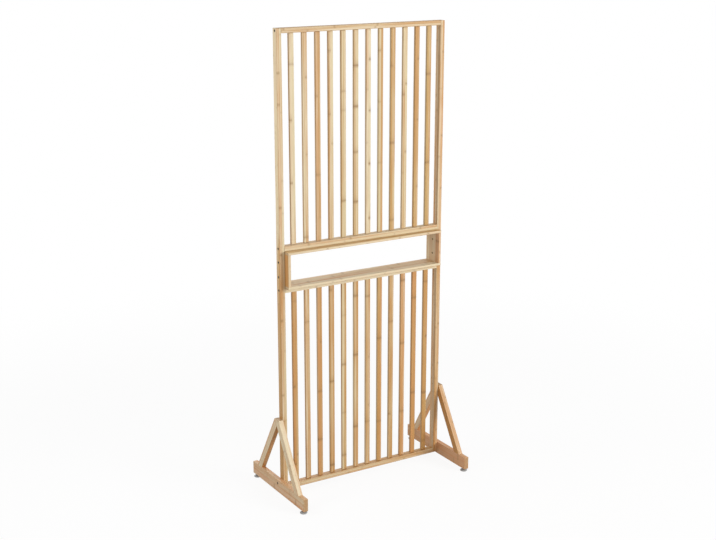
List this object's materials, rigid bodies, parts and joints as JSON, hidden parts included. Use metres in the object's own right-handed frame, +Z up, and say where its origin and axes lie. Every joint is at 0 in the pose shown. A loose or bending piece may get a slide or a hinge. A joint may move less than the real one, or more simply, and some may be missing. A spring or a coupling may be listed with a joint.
{
  "type": "rotating slat room divider",
  "caption": "Free-standing bamboo room divider: upright slats that turn on pins between rails, an open storage box at mid height and braced feet on levelling pads.",
  "frame": {"origin": "on the floor, under the middle of the divider", "axes": "+X to the right seen from the front, +Y to the back, +Z up"},
  "size_m": [0.766, 0.416, 1.78],
  "materials": {
    "frame_bamboo": "laminated bamboo, satin varnish",
    "slat_bamboo": "laminated bamboo, satin varnish",
    "box_bamboo": "laminated bamboo, satin varnish",
    "foot_bamboo": "laminated bamboo, satin varnish",
    "dowel_wood": "plain beech",
    "plated_steel": "zinc plated",
    "black_steel": "black oxide",
    "grey_plastic": "moulded, matte"
  },
  "bodies": {
    "frame": {"left_post": "frame_bamboo", "right_post": "frame_bamboo", "top_rail": "frame_bamboo", "upper_middle_rail": "frame_bamboo", "lower_middle_rail": "frame_bamboo", "bottom_rail": "frame_bamboo", "box_top_board": "box_bamboo", "box_shelf_board": "box_bamboo", "box_left_panel": "box_bamboo", "box_right_panel": "box_bamboo", "left_foot_beam": "foot_bamboo", "right_foot_beam": "foot_bamboo", "left_front_brace": "foot_bamboo", "left_back_brace": "foot_bamboo", "right_front_brace": "foot_bamboo", "right_back_brace": "foot_bamboo", "slat_pivot_pins": "plated_steel", "frame_screws": "black_steel", "box_bolts": "black_steel", "foot_bolts": "black_steel", "threaded_inserts": "plated_steel", "rail_end_dowels": "dowel_wood", "box_to_rail_dowels": "dowel_wood", "box_corner_dowels": "dowel_wood", "brace_dowels": "dowel_wood", "apex_dowels": "dowel_wood"},
    "upper_slat_01": {"upper_slat_01": "slat_bamboo"},
    "upper_slat_02": {"upper_slat_02": "slat_bamboo"},
    "upper_slat_03": {"upper_slat_03": "slat_bamboo"},
    "upper_slat_04": {"upper_slat_04": "slat_bamboo"},
    "upper_slat_05": {"upper_slat_05": "slat_bamboo"},
    "upper_slat_06": {"upper_slat_06": "slat_bamboo"},
    "upper_slat_07": {"upper_slat_07": "slat_bamboo"},
    "upper_slat_08": {"upper_slat_08": "slat_bamboo"},
    "upper_slat_09": {"upper_slat_09": "slat_bamboo"},
    "upper_slat_10": {"upper_slat_10": "slat_bamboo"},
    "upper_slat_11": {"upper_slat_11": "slat_bamboo"},
    "upper_slat_12": {"upper_slat_12": "slat_bamboo"},
    "lower_slat_01": {"lower_slat_01": "slat_bamboo"},
    "lower_slat_02": {"lower_slat_02": "slat_bamboo"},
    "lower_slat_03": {"lower_slat_03": "slat_bamboo"},
    "lower_slat_04": {"lower_slat_04": "slat_bamboo"},
    "lower_slat_05": {"lower_slat_05": "slat_bamboo"},
    "lower_slat_06": {"lower_slat_06": "slat_bamboo"},
    "lower_slat_07": {"lower_slat_07": "slat_bamboo"},
    "lower_slat_08": {"lower_slat_08": "slat_bamboo"},
    "lower_slat_09": {"lower_slat_09": "slat_bamboo"},
    "lower_slat_10": {"lower_slat_10": "slat_bamboo"},
    "lower_slat_11": {"lower_slat_11": "slat_bamboo"},
    "lower_slat_12": {"lower_slat_12": "slat_bamboo"},
    "left_front_levelling_foot": {"left_front_levelling_pad": "grey_plastic", "left_front_levelling_stem": "plated_steel"},
    "left_back_levelling_foot": {"left_back_levelling_pad": "grey_plastic", "left_back_levelling_stem": "plated_steel"},
    "right_front_levelling_foot": {"right_front_levelling_pad": "grey_plastic", "right_front_levelling_stem": "plated_steel"},
    "right_back_levelling_foot": {"right_back_levelling_pad": "grey_plastic", "right_back_levelling_stem": "plated_steel"}
  },
  "joints": [
    {"name": "upper_slat_01_turn", "type": "hinge", "parent": "frame", "child": "upper_slat_01", "pos_m": [-0.29615, 0, 0.99], "axis": [0, 0, 1], "continuous": true},
    {"name": "upper_slat_02_turn", "type": "hinge", "parent": "frame", "child": "upper_slat_02", "pos_m": [-0.24231, 0, 0.99], "axis": [0, 0, 1], "continuous": true},
    {"name": "upper_slat_03_turn", "type": "hinge", "parent": "frame", "child": "upper_slat_03", "pos_m": [-0.18846, 0, 0.99], "axis": [0, 0, 1], "continuous": true},
    {"name": "upper_slat_04_turn", "type": "hinge", "parent": "frame", "child": "upper_slat_04", "pos_m": [-0.13462, 0, 0.99], "axis": [0, 0, 1], "continuous": true},
    {"name": "upper_slat_05_turn", "type": "hinge", "parent": "frame", "child": "upper_slat_05", "pos_m": [-0.08077, 0, 0.99], "axis": [0, 0, 1], "continuous": true},
    {"name": "upper_slat_06_turn", "type": "hinge", "parent": "frame", "child": "upper_slat_06", "pos_m": [-0.02692, 0, 0.99], "axis": [0, 0, 1], "continuous": true},
    {"name": "upper_slat_07_turn", "type": "hinge", "parent": "frame", "child": "upper_slat_07", "pos_m": [0.02692, 0, 0.99], "axis": [0, 0, 1], "continuous": true},
    {"name": "upper_slat_08_turn", "type": "hinge", "parent": "frame", "child": "upper_slat_08", "pos_m": [0.08077, 0, 0.99], "axis": [0, 0, 1], "continuous": true},
    {"name": "upper_slat_09_turn", "type": "hinge", "parent": "frame", "child": "upper_slat_09", "pos_m": [0.13462, 0, 0.99], "axis": [0, 0, 1], "continuous": true},
    {"name": "upper_slat_10_turn", "type": "hinge", "parent": "frame", "child": "upper_slat_10", "pos_m": [0.18846, 0, 0.99], "axis": [0, 0, 1], "continuous": true},
    {"name": "upper_slat_11_turn", "type": "hinge", "parent": "frame", "child": "upper_slat_11", "pos_m": [0.24231, 0, 0.99], "axis": [0, 0, 1], "continuous": true},
    {"name": "upper_slat_12_turn", "type": "hinge", "parent": "frame", "child": "upper_slat_12", "pos_m": [0.29615, 0, 0.99], "axis": [0, 0, 1], "continuous": true},
    {"name": "lower_slat_01_turn", "type": "hinge", "parent": "frame", "child": "lower_slat_01", "pos_m": [-0.29615, 0, 0.039], "axis": [0, 0, 1], "continuous": true},
    {"name": "lower_slat_02_turn", "type": "hinge", "parent": "frame", "child": "lower_slat_02", "pos_m": [-0.24231, 0, 0.039], "axis": [0, 0, 1], "continuous": true},
    {"name": "lower_slat_03_turn", "type": "hinge", "parent": "frame", "child": "lower_slat_03", "pos_m": [-0.18846, 0, 0.039], "axis": [0, 0, 1], "continuous": true},
    {"name": "lower_slat_04_turn", "type": "hinge", "parent": "frame", "child": "lower_slat_04", "pos_m": [-0.13462, 0, 0.039], "axis": [0, 0, 1], "continuous": true},
    {"name": "lower_slat_05_turn", "type": "hinge", "parent": "frame", "child": "lower_slat_05", "pos_m": [-0.08077, 0, 0.039], "axis": [0, 0, 1], "continuous": true},
    {"name": "lower_slat_06_turn", "type": "hinge", "parent": "frame", "child": "lower_slat_06", "pos_m": [-0.02692, 0, 0.039], "axis": [0, 0, 1], "continuous": true},
    {"name": "lower_slat_07_turn", "type": "hinge", "parent": "frame", "child": "lower_slat_07", "pos_m": [0.02692, 0, 0.039], "axis": [0, 0, 1], "continuous": true},
    {"name": "lower_slat_08_turn", "type": "hinge", "parent": "frame", "child": "lower_slat_08", "pos_m": [0.08077, 0, 0.039], "axis": [0, 0, 1], "continuous": true},
    {"name": "lower_slat_09_turn", "type": "hinge", "parent": "frame", "child": "lower_slat_09", "pos_m": [0.13462, 0, 0.039], "axis": [0, 0, 1], "continuous": true},
    {"name": "lower_slat_10_turn", "type": "hinge", "parent": "frame", "child": "lower_slat_10", "pos_m": [0.18846, 0, 0.039], "axis": [0, 0, 1], "continuous": true},
    {"name": "lower_slat_11_turn", "type": "hinge", "parent": "frame", "child": "lower_slat_11", "pos_m": [0.24231, 0, 0.039], "axis": [0, 0, 1], "continuous": true},
    {"name": "lower_slat_12_turn", "type": "hinge", "parent": "frame", "child": "lower_slat_12", "pos_m": [0.29615, 0, 0.039], "axis": [0, 0, 1], "continuous": true},
    {"name": "left_front_foot_height", "type": "slide", "parent": "frame", "child": "left_front_levelling_foot", "axis": [0, 0, -1], "range_m": [0, 0.012]},
    {"name": "left_back_foot_height", "type": "slide", "parent": "frame", "child": "left_back_levelling_foot", "axis": [0, 0, -1], "range_m": [0, 0.012]},
    {"name": "right_front_foot_height", "type": "slide", "parent": "frame", "child": "right_front_levelling_foot", "axis": [0, 0, -1], "range_m": [0, 0.012]},
    {"name": "right_back_foot_height", "type": "slide", "parent": "frame", "child": "right_back_levelling_foot", "axis": [0, 0, -1], "range_m": [0, 0.012]}
  ]
}
